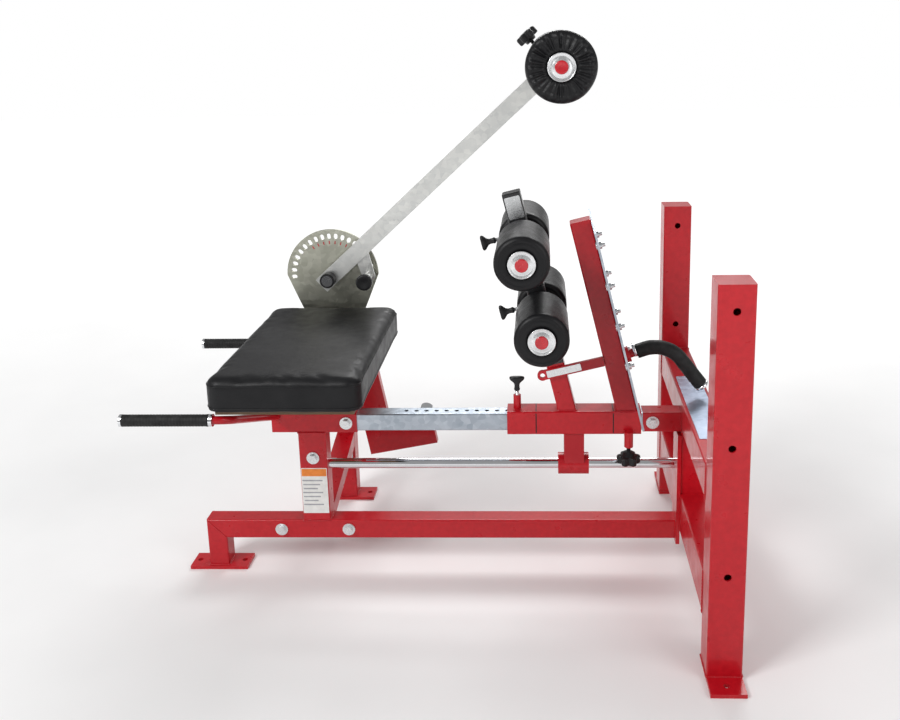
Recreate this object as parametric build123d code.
from build123d import *
import math
import os

# Kneeling leg curl machine. Millimetres, +Z up. The origin is on the floor, under the middle of the machine.
# +X runs from the hand grips to the wide rear frame; -Y is the left hand of a person kneeling towards -X.

# Rear frame: two uprights joined by two crossbars
REAR_X = 683.2
UPRIGHT = 76.2
UPRIGHT_WALL = 4.8
FRAME_HALF_WIDTH = 460.4
UPRIGHT_TOP = 869.0
PLATE = 9.0
TUBE_CORNER = 4.0
HOLE_R = 8.0
HOLE_PITCH = 286.0
LOW_HOLE_Z = 242.0
UPPER_BAR_Z = 380.0
LOWER_BAR_Z = 112.0
LOWER_BAR_HEIGHT = 101.6
FOOT_OUT = 516.0
FRONT_X = REAR_X - UPRIGHT
INNER_Y = FRAME_HALF_WIDTH - UPRIGHT
MID_X = REAR_X - UPRIGHT / 2

# Base beam, its front leg and the floor plates
BEAM = 50.8
BEAM_WALL = 3.0
BEAM_TOP = 136.2
BEAM_BOTTOM = BEAM_TOP - BEAM
LEG_X = -605.3
SPINE_PLATE = 9.6
SPINE_X = FRONT_X - SPINE_PLATE
FRONT_FOOT_LENGTH = 150.0
FRONT_FOOT_HALF = 32.5
FOOT_BOLT_SPACING = 118.0
FLOOR_HOLE_R = 7.0
SPINE_HALF = 38.0
CENTRE_POST = 64.0

# Seat post, top rail and the zinc beam that the carriage slides on
POST_X0 = -352.0
POST_X1 = -282.0
POST_X = (POST_X0 + POST_X1) / 2
RAIL_X0 = -416.0
RAIL_X1 = -201.0
RAIL_Z = 401.6
RAIL = 50.8
SLIDE = 44.45
SLIDE_WALL = 3.0
SLIDE_X0 = -330.0
SLIDE_X1 = 560.0
STUB_X0 = 512.0
SLIDE_HOLE_R = 5.5
SLIDE_HOLE_PITCH = 25.4
SLIDE_HOLES_BEFORE = 11
SLIDE_HOLES_AFTER = 11
ROD_R = 12.7
ROD_Z = 282.0
ROD_END = 680.0

# Through bolts of the frame
BOLT_R = 6.0
BOLT_CLEARANCE = 0.25
WASHER_R = 16.0
WASHER = 2.5
HEAD_ACROSS = 19.0
HEAD = 8.0
BOLTS = [
    (POST_X, 308.0, BEAM / 2),
    (-228.0, RAIL_Z, RAIL / 2),
    (536.0, RAIL_Z, RAIL / 2),
    (-410.0, BEAM_TOP - BEAM / 2, BEAM / 2),
    (-236.0, BEAM_TOP - BEAM / 2, BEAM / 2),
]

# Hand grips
GRIP_ROOT_X = -400.0
GRIP_ROOT_Z = 416.0
GRIP_CORNER_X = -440.0
GRIP_START_X = -480.0
GRIP_END_X = -677.2
GRIP_Y = 272.0
GRIP_Z = 514.0
GRIP_BEND = 40.0
GRIP_TUBE_R = 9.5
GRIP_BORE_R = 9.6
GRIP_R = 14.0
GRIP_CAP_R = 14.2
GRIP_CAP = 6.0
GRIP_RING = 8.0

# Seat
SEAT_X0 = -490.0
SEAT_X1 = -128.0
SEAT_HALF = 299.5
SEAT_BOTTOM = 538.0
SEAT_TOP = 616.0
SEAT_CORNER = 34.0
SEAT_TOP_ROUND = 18.0
BOARD = 10.0
BOARD_INSET = 25.0
STRAP_INSET = 60.0
SEAT_PLATE = 6.0
RISER = 44.0
RISERS_X = (-385.0, -225.0)

# Far-side pivot with the slotted disc and the counterweight arm
PIVOT_X = -316.0
PIVOT_Z = 701.0
COLUMN = 50.8
COLUMN_Y = 380.0
COLUMN_FOOT = 150.0
HOUSING_R = 34.0
HOUSING_Y0 = 353.0
HOUSING_Y1 = 407.0
HOUSING_CAP = 1.0
SHAFT_R = 15.0
SHAFT_Y0 = 234.0
SHAFT_Y1 = 415.0
BEARING_R = 24.0
BEARING = 14.0
RUNNING = 0.05
DISC_Y0 = 311.0
DISC_Y1 = 319.0
DISC_R = 127.3
DISC_TAPER_X = 96.0
DISC_TAPER_Z = -76.0
DISC_BOTTOM_X = 78.0
DISC_BOTTOM_Z = -118.0
SLOT_R = 108.0
SLOT_LENGTH = 16.0
SLOT_WIDTH = 11.0
SLOT_STEP = 10
SLOT_LAST = 183
SLOT_FIRST = 3
WEIGHT_TILT = 10.5
WEIGHT_X0 = -22.0
WEIGHT_WIDTH = 76.2
WEIGHT_REACH = 176.0
WEIGHT_DEPTH = 550.0
WEIGHT_Y0 = 324.0
WEIGHT_Y1 = 349.0
WEIGHT_WALL = 3.0
WEIGHT_HEAD = 40.0
HORN_R = 24.0
HORN_Y1 = 500.0
HORN_FLANGE_R = 42.0
HORN_FLANGE = 6.0
HORN_INSET = 45.0
BRACE_Z0 = 111.0
BRACE_Z1 = 190.0

# Roller arm and its pull pin
ARM_ANGLE = 42.4
ARM_LENGTH = 852.0
ARM_WIDTH = 45.0
ARM_Y0 = 262.0
ARM_Y1 = 287.0
ARM_WALL = 3.0
ARM_TAIL = 30.0
ARM_END = 34.0
HUB_R = 26.0
HUB_BORE_R = 20.0
ARM_HOLLOW_X = 35.0
ARM_BOSS_R = 11.0
ARM_BOSS = 30.0
HUB_Y0 = 236.0
HUB_Y1 = 308.0
PIN_ANGLE = 3.0
PIN_R = 4.7
PIN_BARREL_R = 11.0
PIN_BARREL_Y0 = 240.0
PIN_BARREL_Y1 = 300.0
PIN_TIP_Y = 310.4
PIN_KNOB_R = 22.0
PIN_KNOB_Y0 = 190.0
PIN_KNOB_Y1 = 226.0
PIN_KNOB_ROUND = 6.0
BRACKET = 6.0
BRACKET_INSET = 6.0
PIN_LUG_R = 17.0
ROOT_LUG_R = 20.0
BRACKET_REACH = 118.0
CHEST_R = 80.0
CHEST_Y0 = -170.0
CHEST_Y1 = 250.0
AXLE_R = 12.5
AXLE_STAND = 4.0
BUSH_GAP = 0.1
END_WASHER_R = 32.0
END_GAP = 0.5
END_WASHER = 3.0
END_CAP_R = 15.0
END_CAP = 7.0
STAR_R = 30.0
STAR_HEIGHT = 30.0
STAR_LOBES = 6
STAR_BODY_R = 22.0
STAR_LOBE_R = 9.0
STAR_LOBE_HEIGHT = 24.0
STAR_BORE_R = 5.0
SCREW_OVERLAP = 5.0
ARM_KNOB_BACK = 16.0
ARM_KNOB_OUT = 84.0

# Carriage
CARRIAGE_X0 = 176.0
CARRIAGE_X1 = 508.0
SLEEVE = 60.0
SLEEVE_WALL = 5.0
LINER_GAP = 0.15
LINER = 60.0
COLLAR_X0 = 302.0
COLLAR_X1 = 379.0
COLLAR_R = 27.0
LINK_X0 = 317.0
LINK_X1 = 367.0
PIN_X = 201.0
CARRIAGE_BARREL_R = 9.5
CARRIAGE_BARREL_TOP = 466.0
CARRIAGE_PIN_LIFT = 0.6
CARRIAGE_PIN_TIP = RAIL_Z + SLIDE / 2 + CARRIAGE_PIN_LIFT
T_KNOB_LENGTH = 38.0
T_KNOB_R = 8.0
T_KNOB_NECK = 20.0
T_KNOB_GAP = 12.0
LOCK_X = 476.0
LOCK_Y = -42.0
LOCK_BOSS_R = 11.0
LOCK_BOSS_Z0 = 345.0
LOCK_BOSS_Z1 = 384.0
LOCK_KNOB_TOP = 330.0

# Slanted roller post, its sliding collars and the foot rollers
TILT = 13.5
POST_BASE_X = 325.0
POST_TUBE = 44.45
POST_LENGTH = 560.0
POST_JOIN = 125.0
POST_HOLE_PITCH = 25.4
POST_HOLE_STEPS = range(-2, 4)
UPPER_AT = 438.0
LOWER_AT = 258.0
COLLAR = 57.2
COLLAR_BORE = 44.85
COLLAR_LENGTH = 74.0
ROLLER_R = 62.5
ROLLER_Y0 = 35.0
ROLLER_Y1 = 240.0
STUB_AXLE_R = 12.5
PIN_ABOVE = 20.0
BARREL_OUT = 24.0
PIN_OFF_POST = 0.4
BARREL_CLEARANCE = 0.2

# Foot plate, its tube and the pull handle
FOOT_X = 385.0
FOOT_REF_Z = 904.0
FOOT_TUBE = 50.8
FOOT_TUBE_TOP = 912.0
FOOT_PLATE_HALF = 158.0
FOOT_PLATE_THICK = 5.0
FOOT_PLATE_TOP = 908.0
FOOT_PLATE_BOTTOM = 436.0
FOOT_BOLT_ROWS = 4
FOOT_BOLT_PITCH = 102.0
FOOT_BOLT_Y = 62.0
FOOT_BOLT_R = 5.0
FOOT_BOLT_TAIL = 14.0
FOOT_BOLT_HEAD = 3.0
FOOT_BOLT_HEAD_R = 10.0
FOOT_BOLT_NUT = 6.0
FOOT_BOLT_NUT_R = 9.0
BRACE_BAR_Z = 106.0
BRACE_BAR_THICK = 8.0
BRACE_BAR_HEIGHT = 24.0
BRACE_EYE_R = 13.0
BRACE_EYE_HOLE_R = 6.0
BRACE_BAR_START = -36.0
HANDLE_TUBE_R = 11.0
HANDLE_FOAM_R = 18.0
HANDLE_BEND = 80.0
HANDLE_Z = 569.0
HANDLE_CORNER = (571.0, 603.0)
HANDLE_END = (656.0, 491.0)
HANDLE_FLANGE_R = 20.0
HANDLE_FLANGE = 10.0
FOAM_START = 0.12

LEFT = -1
RIGHT = 1


def block(x0, x1, y0, y1, z0, z1):
    centre = ((x0 + x1) / 2, (y0 + y1) / 2, (z0 + z1) / 2)
    return Pos(*centre) * Box(x1 - x0, y1 - y0, z1 - z0)


def rod(start, end, radius):
    start = Vector(*start)
    path = Vector(*end) - start
    place = Plane(origin=start, z_dir=path)
    return place * Cylinder(radius, path.length, align=(Align.CENTER, Align.CENTER, Align.MIN))


def pipe(start, end, radius, bore):
    return rod(start, end, radius) - rod(start, end, bore)


def round_bar(x0, x1, y0, y1, z0, z1, along):
    """A box with its edges along one axis rounded."""
    return fillet(block(x0, x1, y0, y1, z0, z1).edges().filter_by(along), TUBE_CORNER)


def tube_x(x0, x1, y, z, width, height, wall):
    outer = round_bar(x0, x1, y - width / 2, y + width / 2, z - height / 2, z + height / 2, Axis.X)
    half_y = width / 2 - wall
    half_z = height / 2 - wall
    return outer - block(x0 - 1, x1 + 1, y - half_y, y + half_y, z - half_z, z + half_z)


def tube_z(x, y, z0, z1, length, width, wall):
    outer = round_bar(x - length / 2, x + length / 2, y - width / 2, y + width / 2, z0, z1, Axis.Z)
    half_x = length / 2 - wall
    half_y = width / 2 - wall
    return outer - block(x - half_x, x + half_x, y - half_y, y + half_y, z0 - 1, z1 + 1)


def swept(path, radius, bore=0.0):
    start = Plane(origin=path @ 0, z_dir=path % 0)
    profile = start * Circle(radius)
    if bore:
        profile -= start * Circle(bore)
    return sweep(profile, path=path)


def cross_hole(x, z, half, radius):
    return rod((x, -half - 1, z), (x, half + 1, z), radius)


def star(height):
    """A lobed hand knob standing on XY, pointing up +Z."""
    low = (Align.CENTER, Align.CENTER, Align.MIN)
    body = Cylinder(STAR_BODY_R, height, align=low)
    for place in PolarLocations(STAR_R - STAR_LOBE_R, STAR_LOBES):
        body += place * Cylinder(STAR_LOBE_R, STAR_LOBE_HEIGHT, align=low)
    return body


def t_pin(tip, barrel_end):
    """A pin along local +Z from z=tip, with its T handle just past z=barrel_end."""
    low = (Align.CENTER, Align.CENTER, Align.MIN)
    neck = barrel_end + T_KNOB_GAP
    pin = Pos(0, 0, tip) * Cylinder(PIN_R, neck - tip + 1, align=low)
    pin += Pos(0, 0, neck) * Cylinder(T_KNOB_R, T_KNOB_NECK, align=low)
    bar_z = neck + T_KNOB_NECK + T_KNOB_R
    bar = Pos(0, 0, bar_z) * Rot(0, 90, 0) * Cylinder(T_KNOB_R, T_KNOB_LENGTH)
    shoulder = Pos(0, 0, bar_z - T_KNOB_R) * Box(T_KNOB_R * 2, T_KNOB_R * 1.6, T_KNOB_R * 2)
    return pin + bar + shoulder


# ---- Fixed frame ----


def base_beam():
    """The long floor beam, mitred into its short front leg."""
    mitre = Plane(origin=(LEG_X, 0, BEAM_TOP), z_dir=(1, 0, 1))
    run = tube_x(LEG_X, SPINE_X, 0, BEAM_TOP - BEAM / 2, BEAM, BEAM, BEAM_WALL)
    leg = tube_z(LEG_X + BEAM / 2, 0, PLATE, BEAM_TOP, BEAM, BEAM, BEAM_WALL)
    run = split(run, bisect_by=mitre, keep=Keep.TOP)
    leg = split(leg, bisect_by=mitre, keep=Keep.BOTTOM)
    beam = run + leg
    for x, z, half in BOLTS[3:]:
        beam -= cross_hole(x, z, half, BOLT_R + BOLT_CLEARANCE)
    return beam


def floor_plate(x0, x1, y0, y1, holes):
    plate = block(x0, x1, y0, y1, 0, PLATE)
    for x, y in holes:
        plate -= rod((x, y, -1), (x, y, PLATE + 1), FLOOR_HOLE_R)
    return plate


def floor_plates():
    leg = LEG_X + BEAM / 2
    half = FRONT_FOOT_LENGTH / 2
    holes = [(leg - FOOT_BOLT_SPACING / 2, 0), (leg + FOOT_BOLT_SPACING / 2, 0)]
    plates = [floor_plate(leg - half, leg + half, -FRONT_FOOT_HALF, FRONT_FOOT_HALF, holes)]
    hole_y = (FRAME_HALF_WIDTH + FOOT_OUT) / 2
    plates.append(floor_plate(FRONT_X, REAR_X, -FOOT_OUT, -INNER_Y, [(MID_X, -hole_y)]))
    plates.append(floor_plate(FRONT_X, REAR_X, INNER_Y, FOOT_OUT, [(MID_X, hole_y)]))
    column = COLUMN_FOOT / 2
    holes = [(PIVOT_X - FOOT_BOLT_SPACING / 2, COLUMN_Y), (PIVOT_X + FOOT_BOLT_SPACING / 2, COLUMN_Y)]
    sides = (COLUMN_Y - FRONT_FOOT_HALF, COLUMN_Y + FRONT_FOOT_HALF)
    plates.append(floor_plate(PIVOT_X - column, PIVOT_X + column, sides[0], sides[1], holes))
    return Compound(children=plates)


def upright(side):
    y = side * (FRAME_HALF_WIDTH - UPRIGHT / 2)
    tube = tube_z(MID_X, y, PLATE, UPRIGHT_TOP - UPRIGHT_WALL, UPRIGHT, UPRIGHT, UPRIGHT_WALL)
    half = UPRIGHT / 2
    top = UPRIGHT_TOP
    tube += round_bar(MID_X - half, MID_X + half, y - half, y + half, top - UPRIGHT_WALL, top, Axis.Z)
    for row in range(3):
        z = LOW_HOLE_Z + row * HOLE_PITCH
        tube -= rod((MID_X, y - half - 1, z), (MID_X, y + half + 1, z), HOLE_R)
    return tube


def crossbar(z0, height):
    z1 = z0 + height
    outer = round_bar(FRONT_X, REAR_X, -INNER_Y, INNER_Y, z0, z1, Axis.Y)
    wall = UPRIGHT_WALL
    return outer - block(FRONT_X + wall, REAR_X - wall, -UPRIGHT_TOP, UPRIGHT_TOP, z0 + wall, z1 - wall)


def centre_post():
    low = LOWER_BAR_Z + LOWER_BAR_HEIGHT
    post = tube_z(FRONT_X + CENTRE_POST / 2, 0, low, UPPER_BAR_Z, CENTRE_POST, CENTRE_POST, BEAM_WALL)
    return post - rod((SPINE_X - 1, 0, ROD_Z), (REAR_X, 0, ROD_Z), ROD_R)


def spine_plate():
    plate = block(SPINE_X, FRONT_X, -SPINE_HALF, SPINE_HALF, BEAM_BOTTOM - 8, UPPER_BAR_Z - 9)
    return plate - rod((SPINE_X - 1, 0, ROD_Z), (REAR_X, 0, ROD_Z), ROD_R)


def rear_stub():
    stub = tube_x(STUB_X0, FRONT_X, 0, RAIL_Z, RAIL, RAIL, BEAM_WALL)
    return stub - cross_hole(BOLTS[2][0], BOLTS[2][1], RAIL / 2, BOLT_R + BOLT_CLEARANCE)


def seat_post():
    post = tube_z(POST_X, 0, BEAM_TOP, RAIL_Z - RAIL / 2, POST_X1 - POST_X0, BEAM, BEAM_WALL)
    post -= cross_hole(BOLTS[0][0], BOLTS[0][1], BEAM / 2, BOLT_R + BOLT_CLEARANCE)
    return post - rod((POST_X1 - BEAM_WALL - 1, 0, ROD_Z), (POST_X1 + 1, 0, ROD_Z), ROD_R)


def top_rail():
    rail = tube_x(RAIL_X0, RAIL_X1, 0, RAIL_Z, RAIL, RAIL, BEAM_WALL)
    return rail - cross_hole(BOLTS[1][0], BOLTS[1][1], RAIL / 2, BOLT_R + BOLT_CLEARANCE)


def slide_beam():
    beam = tube_x(SLIDE_X0, SLIDE_X1, 0, RAIL_Z, SLIDE, SLIDE, SLIDE_WALL)
    for step in range(-SLIDE_HOLES_BEFORE, SLIDE_HOLES_AFTER + 1):
        x = PIN_X + step * SLIDE_HOLE_PITCH
        beam -= rod((x, 0, RAIL_Z), (x, 0, RAIL_Z + SLIDE), SLIDE_HOLE_R)
    for x, z, half in BOLTS[1:3]:
        beam -= cross_hole(x, z, half, BOLT_R + BOLT_CLEARANCE)
    return beam


def guide_rod():
    return rod((POST_X1 - BEAM_WALL, 0, ROD_Z), (ROD_END, 0, ROD_Z), ROD_R)


def hexagon(x, z, y0, y1):
    face = Plane(origin=(x, y0, z), x_dir=(1, 0, 0), z_dir=(0, 1, 0))
    return extrude(face * RegularPolygon(HEAD_ACROSS / 2, 6, major_radius=False), y1 - y0)


def frame_bolts():
    solids = []
    for x, z, half in BOLTS:
        out = half + WASHER
        shank = rod((x, -out, z), (x, out + HEAD + 3, z), BOLT_R)
        solids.append(hexagon(x, z, -out - HEAD, -out) + shank)
        nut = hexagon(x, z, out, out + HEAD)
        solids.append(nut - rod((x, out - 1, z), (x, out + HEAD + 1, z), BOLT_R))
    return Compound(children=solids)


def frame_washers():
    solids = []
    for x, z, half in BOLTS:
        for y0 in (-half - WASHER, half):
            solids.append(pipe((x, y0, z), (x, y0 + WASHER, z), WASHER_R, BOLT_R))
    return Compound(children=solids)


def grip_bar(side):
    """From the rail's side out and up to the grip's height, then straight towards -X."""
    root = (GRIP_ROOT_X, side * RAIL / 4, GRIP_ROOT_Z)
    corner = (GRIP_CORNER_X, side * GRIP_Y, GRIP_Z)
    end = (GRIP_END_X, side * GRIP_Y, GRIP_Z)
    return swept(FilletPolyline(root, corner, end, radius=GRIP_BEND), GRIP_TUBE_R)


def along_grip(side, x0, x1, radius):
    return pipe((x0, side * GRIP_Y, GRIP_Z), (x1, side * GRIP_Y, GRIP_Z), radius, GRIP_BORE_R)


def handle_bars():
    solids = []
    for side in (LEFT, RIGHT):
        beside_rail = Pos(0, side * (RAIL + FOOT_OUT) / 2, 0) * Box(2 * REAR_X, FOOT_OUT, 2 * REAR_X)
        solids.append(grip_bar(side) & beside_rail)
    return Compound(children=solids)


def handle_grips():
    return Compound(children=[along_grip(side, GRIP_END_X, GRIP_START_X, GRIP_R) for side in (LEFT, RIGHT)])


def handle_caps():
    solids = []
    for side in (LEFT, RIGHT):
        solids.append(along_grip(side, GRIP_START_X, GRIP_START_X + GRIP_RING, GRIP_CAP_R))
        centre = (GRIP_END_X, side * GRIP_Y, GRIP_Z)
        solids.append(rod(centre, (GRIP_END_X - GRIP_CAP, side * GRIP_Y, GRIP_Z), GRIP_CAP_R))
    return Compound(children=solids)


def seat_frame():
    under = SEAT_BOTTOM - BOARD
    rail_top = RAIL_Z + RAIL / 2
    solids = []
    for x in RISERS_X:
        solids.append(tube_z(x, 0, rail_top, under - SEAT_PLATE, RISER, RISER, BEAM_WALL))
        reach = SEAT_HALF - STRAP_INSET
        solids.append(block(x - RISER / 2, x + RISER / 2, -reach, reach, under - SEAT_PLATE, under))
    return Compound(children=solids)


def seat_board():
    x0 = SEAT_X0 + BOARD_INSET
    x1 = SEAT_X1 - BOARD_INSET
    reach = SEAT_HALF - BOARD_INSET
    return block(x0, x1, -reach, reach, SEAT_BOTTOM - BOARD, SEAT_BOTTOM)


def seat_pad():
    pad = block(SEAT_X0, SEAT_X1, -SEAT_HALF, SEAT_HALF, SEAT_BOTTOM, SEAT_TOP)
    pad = fillet(pad.edges().filter_by(Axis.Z), SEAT_CORNER)
    return fillet(pad.faces().sort_by(Axis.Z)[-1].edges(), SEAT_TOP_ROUND)


def pivot_column():
    column = tube_z(PIVOT_X, COLUMN_Y, PLATE, PIVOT_Z, COLUMN, COLUMN, BEAM_WALL)
    return column - rod((PIVOT_X, HOUSING_Y0 - 9, PIVOT_Z), (PIVOT_X, HOUSING_Y1 + 9, PIVOT_Z), HOUSING_R)


def pivot_housing():
    return pipe((PIVOT_X, HOUSING_Y0, PIVOT_Z), (PIVOT_X, HOUSING_Y1, PIVOT_Z), HOUSING_R, BEARING_R)


def pivot_bearings():
    solids = []
    for y0 in (HOUSING_Y0 + HOUSING_CAP, HOUSING_Y1 - HOUSING_CAP - BEARING):
        y1 = y0 + BEARING
        solids.append(pipe((PIVOT_X, y0, PIVOT_Z), (PIVOT_X, y1, PIVOT_Z), BEARING_R, SHAFT_R + RUNNING))
    return Compound(children=solids)


def column_brace():
    near = BEAM / 2
    far = COLUMN_Y - COLUMN / 2
    rise = BRACE_Z1 - BRACE_Z0
    slope = Plane(origin=(PIVOT_X, near, BRACE_Z0), x_dir=(1, 0, 0), z_dir=(0, far - near, rise))
    run = math.hypot(far - near, rise)
    size = COLUMN * 0.75
    outer = slope * Pos(0, 0, run / 2) * Box(COLUMN, size, run * 1.3)
    inner = slope * Pos(0, 0, run / 2) * Box(COLUMN - 2 * BEAM_WALL, size - 2 * BEAM_WALL, run * 1.4)
    return (outer - inner) & block(-REAR_X, REAR_X, near, far, 0, REAR_X)


# ---- Swinging counterweight and disc ----


def weight_plane():
    angle = math.radians(WEIGHT_TILT)
    return Plane(
        origin=(PIVOT_X, 0, PIVOT_Z),
        x_dir=(math.cos(angle), 0, math.sin(angle)),
        z_dir=(-math.sin(angle), 0, math.cos(angle)),
    )


def pivot_shaft():
    return rod((PIVOT_X, SHAFT_Y0, PIVOT_Z), (PIVOT_X, SHAFT_Y1, PIVOT_Z), SHAFT_R)


def angle_disc():
    face = Plane(origin=(PIVOT_X, DISC_Y0, PIVOT_Z), x_dir=(1, 0, 0), z_dir=(0, -1, 0))
    thick = DISC_Y0 - DISC_Y1
    points = [
        (-DISC_R, 0),
        (-DISC_TAPER_X, DISC_TAPER_Z),
        (-DISC_BOTTOM_X, DISC_BOTTOM_Z),
        (DISC_BOTTOM_X, DISC_BOTTOM_Z),
        (DISC_TAPER_X, DISC_TAPER_Z),
        (DISC_R, 0),
    ]
    outline = Polyline(*points) + RadiusArc(points[0], points[-1], DISC_R)
    disc = extrude(face * make_face(outline), thick)
    for angle in range(SLOT_FIRST, SLOT_LAST + 1, SLOT_STEP):
        centre = Vector(SLOT_R, 0).rotate(Axis.Z, angle)
        slot = Pos(centre.X, centre.Y) * Rot(0, 0, angle) * SlotOverall(SLOT_LENGTH, SLOT_WIDTH)
        disc -= extrude(face * slot, thick)
    return disc - pivot_shaft()


def weight_arm():
    x0 = WEIGHT_X0
    x1 = WEIGHT_X0 + WEIGHT_WIDTH
    foot_z = WEIGHT_WIDTH - WEIGHT_DEPTH
    leg = block(x0, x1, WEIGHT_Y0, WEIGHT_Y1, -WEIGHT_DEPTH, WEIGHT_HEAD)
    foot = block(x0, WEIGHT_REACH, WEIGHT_Y0, WEIGHT_Y1, -WEIGHT_DEPTH, foot_z)
    wall = WEIGHT_WALL
    leg_hollow = block(x0 + wall, x1 - wall, WEIGHT_Y0 + wall, WEIGHT_Y1 - wall, foot_z, -WEIGHT_WIDTH)
    return weight_plane() * (leg + foot - leg_hollow) - pivot_shaft()


def weight_horn():
    x = WEIGHT_REACH - HORN_INSET
    z = WEIGHT_WIDTH / 2 - WEIGHT_DEPTH
    horn = rod((x, WEIGHT_Y1, z), (x, HORN_Y1, z), HORN_R)
    horn += rod((x, WEIGHT_Y1, z), (x, WEIGHT_Y1 + HORN_FLANGE, z), HORN_FLANGE_R)
    return weight_plane() * horn


# ---- Roller arm ----


def arm_plane():
    angle = math.radians(ARM_ANGLE)
    return Plane(
        origin=(PIVOT_X, 0, PIVOT_Z),
        x_dir=(math.cos(angle), 0, math.sin(angle)),
        z_dir=(-math.sin(angle), 0, math.cos(angle)),
    )


def pin_place():
    angle = math.radians(PIN_ANGLE)
    return (PIVOT_X + SLOT_R * math.cos(angle), PIVOT_Z + SLOT_R * math.sin(angle))


def roller_arm():
    half = ARM_WIDTH / 2
    wall = ARM_WALL
    bar = block(-ARM_TAIL, ARM_LENGTH + ARM_END, ARM_Y0, ARM_Y1, -half, half)
    bar -= block(ARM_HOLLOW_X, ARM_LENGTH - ARM_END, ARM_Y0 + wall, ARM_Y1 - wall, -half + wall, half - wall)
    bar -= rod((0, ARM_Y0 - 1, 0), (0, ARM_Y1 + 1, 0), HUB_BORE_R)
    bar -= rod((ARM_LENGTH, ARM_Y0 - 1, 0), (ARM_LENGTH, ARM_Y1 + 1, 0), AXLE_R)
    knob_x = ARM_LENGTH - ARM_KNOB_BACK
    knob_y = (ARM_Y0 + ARM_Y1) / 2
    bar += rod((knob_x, knob_y, half), (knob_x, knob_y, half + ARM_BOSS), ARM_BOSS_R)
    bar -= rod((knob_x, knob_y, half), (knob_x, knob_y, half + ARM_BOSS + 1), STAR_BORE_R + BARREL_CLEARANCE)
    bar = arm_plane() * bar
    return bar + pin_bracket()


def pin_bracket():
    """The lug that carries the pull pin beside the arm, with the pin's barrel."""
    x, z = pin_place()
    angle = math.radians(ARM_ANGLE)
    root = (PIVOT_X + BRACKET_REACH * math.cos(angle), PIVOT_Z + BRACKET_REACH * math.sin(angle))
    y0 = ARM_Y0 + BRACKET_INSET
    lug = hull_plate([(x, z, PIN_LUG_R), (root[0], root[1], ROOT_LUG_R)], y0, y0 + BRACKET)
    lug += rod((x, PIN_BARREL_Y0, z), (x, PIN_BARREL_Y1, z), PIN_BARREL_R)
    return lug - rod((x, PIN_BARREL_Y0 - 1, z), (x, PIN_BARREL_Y1 + 1, z), PIN_R + BARREL_CLEARANCE)


def hull_plate(circles, y0, y1):
    """A flat link with round ends; circles are (x, z, radius)."""
    (x0, z0, r0), (x1, z1, r1) = circles
    face = Plane(origin=(0, y0, 0), x_dir=(1, 0, 0), z_dir=(0, -1, 0))
    outline = make_hull((Pos(x0, z0) * Circle(r0)).edges() + (Pos(x1, z1) * Circle(r1)).edges())
    return extrude(face * outline, y0 - y1)


def arm_hub():
    return pipe((PIVOT_X, HUB_Y0, PIVOT_Z), (PIVOT_X, HUB_Y1, PIVOT_Z), HUB_BORE_R, SHAFT_R + RUNNING)


def chest_axle():
    start = (ARM_LENGTH, CHEST_Y0 - END_WASHER - 1, 0)
    return arm_plane() * rod(start, (ARM_LENGTH, ARM_Y1 + AXLE_STAND, 0), AXLE_R)


def chest_roller():
    return arm_plane() * pipe(
        (ARM_LENGTH, CHEST_Y0, 0), (ARM_LENGTH, CHEST_Y1, 0), CHEST_R, AXLE_R + BUSH_GAP
    )


def end_piece(centre_x, centre_z, y, side):
    """A washer and a round cap on a roller's outer end at y, facing side along Y."""
    face = y + side * END_GAP
    washer = rod((centre_x, face, centre_z), (centre_x, face + side * END_WASHER, centre_z), END_WASHER_R)
    washer -= rod((centre_x, face - END_CAP, centre_z), (centre_x, face + END_CAP, centre_z), AXLE_R)
    outer = face + side * END_WASHER
    cap = rod((centre_x, outer, centre_z), (centre_x, outer + side * END_CAP, centre_z), END_CAP_R)
    return [washer, cap]


def chest_ends():
    washer, cap = end_piece(ARM_LENGTH, 0, CHEST_Y0, -1)
    axle = rod((ARM_LENGTH, CHEST_Y0 - END_WASHER - 1, 0), (ARM_LENGTH, 0, 0), AXLE_R)
    plane = arm_plane()
    return Compound(children=[plane * washer, plane * (cap - axle)])


def pull_pin():
    x, z = pin_place()
    pin = rod((x, PIN_KNOB_Y0, z), (x, PIN_TIP_Y, z), PIN_R)
    knob = rod((x, PIN_KNOB_Y0, z), (x, PIN_KNOB_Y1, z), PIN_KNOB_R)
    knob = fillet(knob.edges().filter_by(GeomType.CIRCLE), PIN_KNOB_ROUND)
    return pin + knob


def arm_knob():
    half = ARM_WIDTH / 2
    x = ARM_LENGTH - ARM_KNOB_BACK
    y = (ARM_Y0 + ARM_Y1) / 2
    screw = rod((x, y, half + 1), (x, y, ARM_KNOB_OUT + SCREW_OVERLAP), STAR_BORE_R)
    return arm_plane() * (Pos(x, y, ARM_KNOB_OUT) * star(STAR_HEIGHT) + screw)


# ---- Carriage ----


def carriage_sleeve():
    sleeve = tube_x(CARRIAGE_X0, CARRIAGE_X1, 0, RAIL_Z, SLEEVE, SLEEVE, SLEEVE_WALL)
    return sleeve - rod((PIN_X, 0, RAIL_Z), (PIN_X, 0, RAIL_Z + SLEEVE), PIN_R + BARREL_CLEARANCE)


def sleeve_liners():
    inner = SLEEVE - 2 * SLEEVE_WALL
    wall = (inner - SLIDE) / 2 - LINER_GAP
    solids = []
    for x0 in (CARRIAGE_X0, CARRIAGE_X1 - LINER):
        liner = tube_x(x0, x0 + LINER, 0, RAIL_Z, inner, inner, wall)
        solids.append(liner - rod((PIN_X, 0, RAIL_Z), (PIN_X, 0, RAIL_Z + SLEEVE), PIN_R + BARREL_CLEARANCE))
    return Compound(children=solids)


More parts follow.
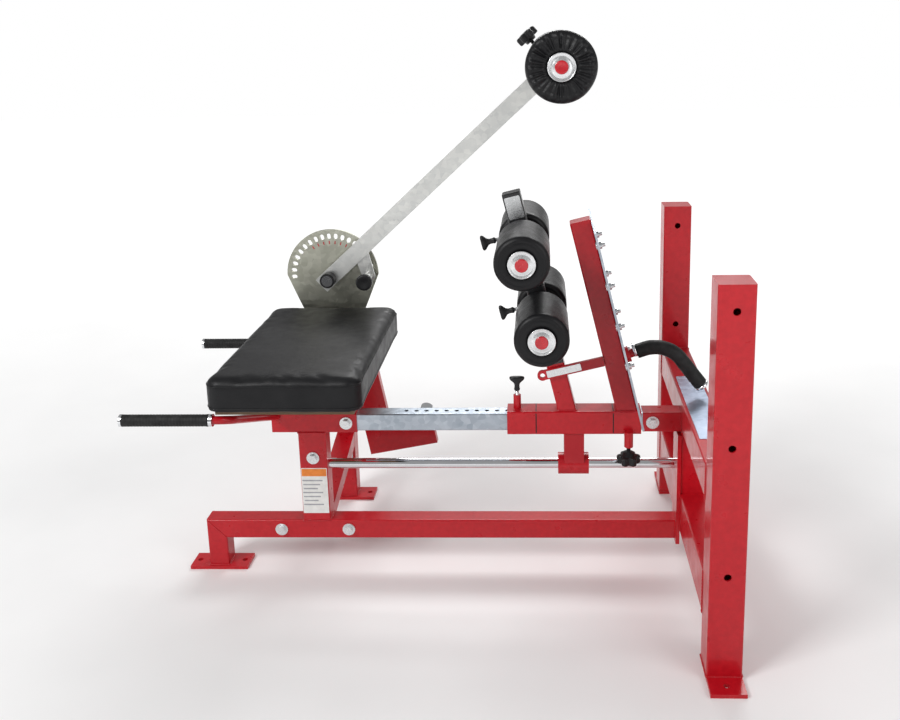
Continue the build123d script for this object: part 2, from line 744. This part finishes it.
def guide_link():
    half = (LINK_X1 - LINK_X0) / 2
    link = block(LINK_X0, LINK_X1, -half, half, ROD_Z, RAIL_Z - SLEEVE / 2)
    link += rod((COLLAR_X0, 0, ROD_Z), (COLLAR_X1, 0, ROD_Z), COLLAR_R)
    return link - rod((COLLAR_X0 - 1, 0, ROD_Z), (COLLAR_X1 + 1, 0, ROD_Z), ROD_R + RUNNING)


def carriage_bosses():
    """The pin's barrel on top of the sleeve and the lock screw's boss on its left side."""
    top = RAIL_Z + SLEEVE / 2
    barrel_top = (PIN_X, 0, CARRIAGE_BARREL_TOP)
    barrel = pipe((PIN_X, 0, top), barrel_top, CARRIAGE_BARREL_R, PIN_R + BARREL_CLEARANCE)
    boss = rod((LOCK_X, LOCK_Y, LOCK_BOSS_Z0), (LOCK_X, LOCK_Y, LOCK_BOSS_Z1), LOCK_BOSS_R)
    half = LOCK_BOSS_R
    boss += block(LOCK_X - half, LOCK_X + half, LOCK_Y, -SLEEVE / 2, RAIL_Z - SLEEVE / 2, LOCK_BOSS_Z1)
    bore_top = (LOCK_X, LOCK_Y, LOCK_BOSS_Z1 - LOCK_BOSS_R / 2)
    boss -= rod((LOCK_X, LOCK_Y, 0), bore_top, STAR_BORE_R + BARREL_CLEARANCE)
    return Compound(children=[barrel, boss])


def carriage_pin():
    return Pos(PIN_X, 0, 0) * t_pin(CARRIAGE_PIN_TIP, CARRIAGE_BARREL_TOP)


def lock_knob():
    screw_top = (LOCK_X, LOCK_Y, LOCK_BOSS_Z1 - LOCK_BOSS_R)
    screw = rod((LOCK_X, LOCK_Y, LOCK_KNOB_TOP - SCREW_OVERLAP), screw_top, STAR_BORE_R)
    return Pos(LOCK_X, LOCK_Y, LOCK_KNOB_TOP) * Rot(180, 0, 0) * star(STAR_HEIGHT) + screw


def tilted(x, z):
    """The plane through (x, z) whose local +Z leans back by the post's tilt."""
    angle = math.radians(TILT)
    return Plane(
        origin=(x, 0, z),
        x_dir=(math.cos(angle), 0, math.sin(angle)),
        z_dir=(-math.sin(angle), 0, math.cos(angle)),
    )


def post_plane():
    return tilted(POST_BASE_X, RAIL_Z + SLEEVE / 2)


def above_sleeve():
    return block(-REAR_X, REAR_X, -REAR_X, REAR_X, RAIL_Z + SLEEVE / 2, 2 * REAR_X)


def foot_post():
    """The post's fixed lower length, cut level where it stands on the sleeve."""
    half = POST_TUBE / 2
    return (post_plane() * tube_z(0, 0, -half, POST_JOIN, POST_TUBE, POST_TUBE, SLIDE_WALL)) & above_sleeve()


def roller_post():
    """The post's upper length, with the pin holes in its front wall."""
    post = tube_z(0, 0, POST_JOIN, POST_LENGTH, POST_TUBE, POST_TUBE, SLIDE_WALL)
    for at in (UPPER_AT, LOWER_AT):
        for step in POST_HOLE_STEPS:
            z = at + PIN_ABOVE + step * POST_HOLE_PITCH
            post -= rod((-POST_TUBE, 0, z), (0, 0, z), SLIDE_HOLE_R)
    return post_plane() * post


def roller_collar(at):
    """A square collar on the post, with a stub axle to each side and the barrel of its pin in front."""
    reach = COLLAR_LENGTH / 2
    collar = tube_z(0, 0, at - reach, at + reach, COLLAR, COLLAR, (COLLAR - COLLAR_BORE) / 2)
    end = ROLLER_Y1 + END_WASHER + 1
    for side in (LEFT, RIGHT):
        collar += rod((0, side * COLLAR / 2, at), (0, side * end, at), STUB_AXLE_R)
    z = at + PIN_ABOVE
    face = -COLLAR / 2
    collar += rod((face, 0, z), (face - BARREL_OUT, 0, z), CARRIAGE_BARREL_R)
    collar -= rod((-COLLAR_BORE / 2 + 1, 0, z), (face - BARREL_OUT - 1, 0, z), PIN_R + BARREL_CLEARANCE)
    return post_plane() * collar


def collar_pin(at):
    outward = Plane(origin=(0, 0, at + PIN_ABOVE), x_dir=(0, 0, 1), z_dir=(-1, 0, 0))
    tip = POST_TUBE / 2 + PIN_OFF_POST
    return post_plane() * (outward * t_pin(tip, COLLAR / 2 + BARREL_OUT))


def foot_roller(at, side):
    inner = side * ROLLER_Y0
    outer = side * ROLLER_Y1
    return post_plane() * pipe((0, inner, at), (0, outer, at), ROLLER_R, STUB_AXLE_R + BUSH_GAP)


def roller_ends(at):
    solids = []
    for side in (LEFT, RIGHT):
        end = side * (ROLLER_Y1 + END_WASHER + 1)
        washer, cap = end_piece(0, at, side * ROLLER_Y1, side)
        cap -= rod((0, 0, at), (0, end, at), STUB_AXLE_R)
        solids += [post_plane() * washer, post_plane() * cap]
    return Compound(children=solids)


def foot_plane():
    return tilted(FOOT_X, FOOT_REF_Z)


def foot_along(z):
    """Distance along the foot plate from its reference point to the height z."""
    return (z - FOOT_REF_Z) / math.cos(math.radians(TILT))


def foot_tube():
    top = foot_along(FOOT_TUBE_TOP)
    tube = tube_z(-FOOT_TUBE / 2, 0, -2 * FOOT_TUBE_TOP, top, FOOT_TUBE, FOOT_TUBE, BEAM_WALL)
    return (foot_plane() * tube) & above_sleeve()


def foot_bolt_places():
    top = foot_along(FOOT_PLATE_TOP) - FOOT_BOLT_PITCH / 2
    for row in range(FOOT_BOLT_ROWS):
        for y in (-FOOT_BOLT_Y, FOOT_BOLT_Y):
            yield y, top - row * FOOT_BOLT_PITCH


def foot_plate():
    low = foot_along(FOOT_PLATE_BOTTOM)
    high = foot_along(FOOT_PLATE_TOP)
    plate = block(0, FOOT_PLATE_THICK, -FOOT_PLATE_HALF, FOOT_PLATE_HALF, low, high)
    for y, z in foot_bolt_places():
        plate -= rod((-1, y, z), (FOOT_PLATE_THICK + 1, y, z), FOOT_BOLT_R)
    return foot_plane() * plate


def foot_plate_bolts():
    solids = []
    for y, z in foot_bolt_places():
        bolt = rod((0, y, z), (FOOT_PLATE_THICK + FOOT_BOLT_TAIL, y, z), FOOT_BOLT_R)
        bolt += rod((-FOOT_BOLT_HEAD, y, z), (0, y, z), FOOT_BOLT_HEAD_R)
        bolt += rod((FOOT_PLATE_THICK, y, z), (FOOT_PLATE_THICK + FOOT_BOLT_NUT, y, z), FOOT_BOLT_NUT_R)
        solids.append(foot_plane() * bolt)
    return Compound(children=solids)


def brace_bar():
    """A flat link from an eye in front of the post to the foot tube."""
    y1 = -POST_TUBE / 2
    y0 = y1 - BRACE_BAR_THICK
    z = BRACE_BAR_Z
    half = BRACE_BAR_HEIGHT / 2
    bar = block(BRACE_BAR_START, REAR_X, y0, y1, z - half, z + half)
    bar += rod((BRACE_BAR_START, y0, z), (BRACE_BAR_START, y1, z), BRACE_EYE_R)
    bar -= rod((BRACE_BAR_START, y0 - 1, z), (BRACE_BAR_START, y1 + 1, z), BRACE_EYE_HOLE_R)
    bar = post_plane() * bar
    front = foot_plane() * block(-REAR_X, -FOOT_TUBE, y0, y1, -REAR_X, REAR_X)
    return bar & front


def handle_path():
    x = FOOT_X + (FOOT_REF_Z - HANDLE_Z) * math.tan(math.radians(TILT)) + FOOT_PLATE_THICK
    points = [(x, 0, HANDLE_Z), (HANDLE_CORNER[0], 0, HANDLE_CORNER[1]), (HANDLE_END[0], 0, HANDLE_END[1])]
    return FilletPolyline(*points, radius=HANDLE_BEND)


def pull_handle():
    path = handle_path()
    tube = swept(path, HANDLE_TUBE_R)
    flange = Plane(origin=path @ 0, z_dir=path % 0) * Cylinder(
        HANDLE_FLANGE_R, 2 * HANDLE_FLANGE, align=(Align.CENTER, Align.CENTER, Align.CENTER)
    )
    behind = foot_plane() * block(FOOT_PLATE_THICK, REAR_X, -REAR_X, REAR_X, -REAR_X, REAR_X)
    return (tube + flange) & behind


def pull_grip():
    path = handle_path()
    return swept(path.trim(FOAM_START, 1), HANDLE_FOAM_R, HANDLE_TUBE_R)


NODES = {
    "base_beam": base_beam(),
    "floor_plates": floor_plates(),
    "seat_post": seat_post(),
    "top_rail": top_rail(),
    "slide_beam": slide_beam(),
    "rear_stub": rear_stub(),
    "spine_plate": spine_plate(),
    "centre_post": centre_post(),
    "upper_crossbar": crossbar(UPPER_BAR_Z, UPRIGHT),
    "lower_crossbar": crossbar(LOWER_BAR_Z, LOWER_BAR_HEIGHT),
    "upright_left": upright(LEFT),
    "upright_right": upright(RIGHT),
    "guide_rod": guide_rod(),
    "frame_bolts": frame_bolts(),
    "frame_washers": frame_washers(),
    "handle_bars": handle_bars(),
    "handle_grips": handle_grips(),
    "handle_caps": handle_caps(),
    "seat_frame": seat_frame(),
    "seat_board": seat_board(),
    "seat_pad": seat_pad(),
    "pivot_column": pivot_column(),
    "pivot_housing": pivot_housing(),
    "pivot_bearings": pivot_bearings(),
    "column_brace": column_brace(),
    "pivot_shaft": pivot_shaft(),
    "angle_disc": angle_disc(),
    "weight_arm": weight_arm(),
    "weight_horn": weight_horn(),
    "roller_arm": roller_arm(),
    "arm_hub": arm_hub(),
    "chest_axle": chest_axle(),
    "chest_ends": chest_ends(),
    "chest_roller": chest_roller(),
    "pull_pin": pull_pin(),
    "arm_knob": arm_knob(),
    "carriage_sleeve": carriage_sleeve(),
    "sleeve_liners": sleeve_liners(),
    "guide_link": guide_link(),
    "carriage_bosses": carriage_bosses(),
    "carriage_pin": carriage_pin(),
    "lock_knob": lock_knob(),
    "foot_post": foot_post(),
    "roller_post": roller_post(),
    "upper_collar": roller_collar(UPPER_AT),
    "lower_collar": roller_collar(LOWER_AT),
    "upper_pin": collar_pin(UPPER_AT),
    "lower_pin": collar_pin(LOWER_AT),
    "upper_ends": roller_ends(UPPER_AT),
    "lower_ends": roller_ends(LOWER_AT),
    "upper_roller_left": foot_roller(UPPER_AT, LEFT),
    "upper_roller_right": foot_roller(UPPER_AT, RIGHT),
    "lower_roller_left": foot_roller(LOWER_AT, LEFT),
    "lower_roller_right": foot_roller(LOWER_AT, RIGHT),
    "foot_tube": foot_tube(),
    "foot_plate": foot_plate(),
    "foot_plate_bolts": foot_plate_bolts(),
    "brace_bar": brace_bar(),
    "pull_handle": pull_handle(),
    "pull_grip": pull_grip(),
}

os.makedirs("parts", exist_ok=True)
for node, shape in NODES.items():
    export_step(shape, f"parts/{node}.step")
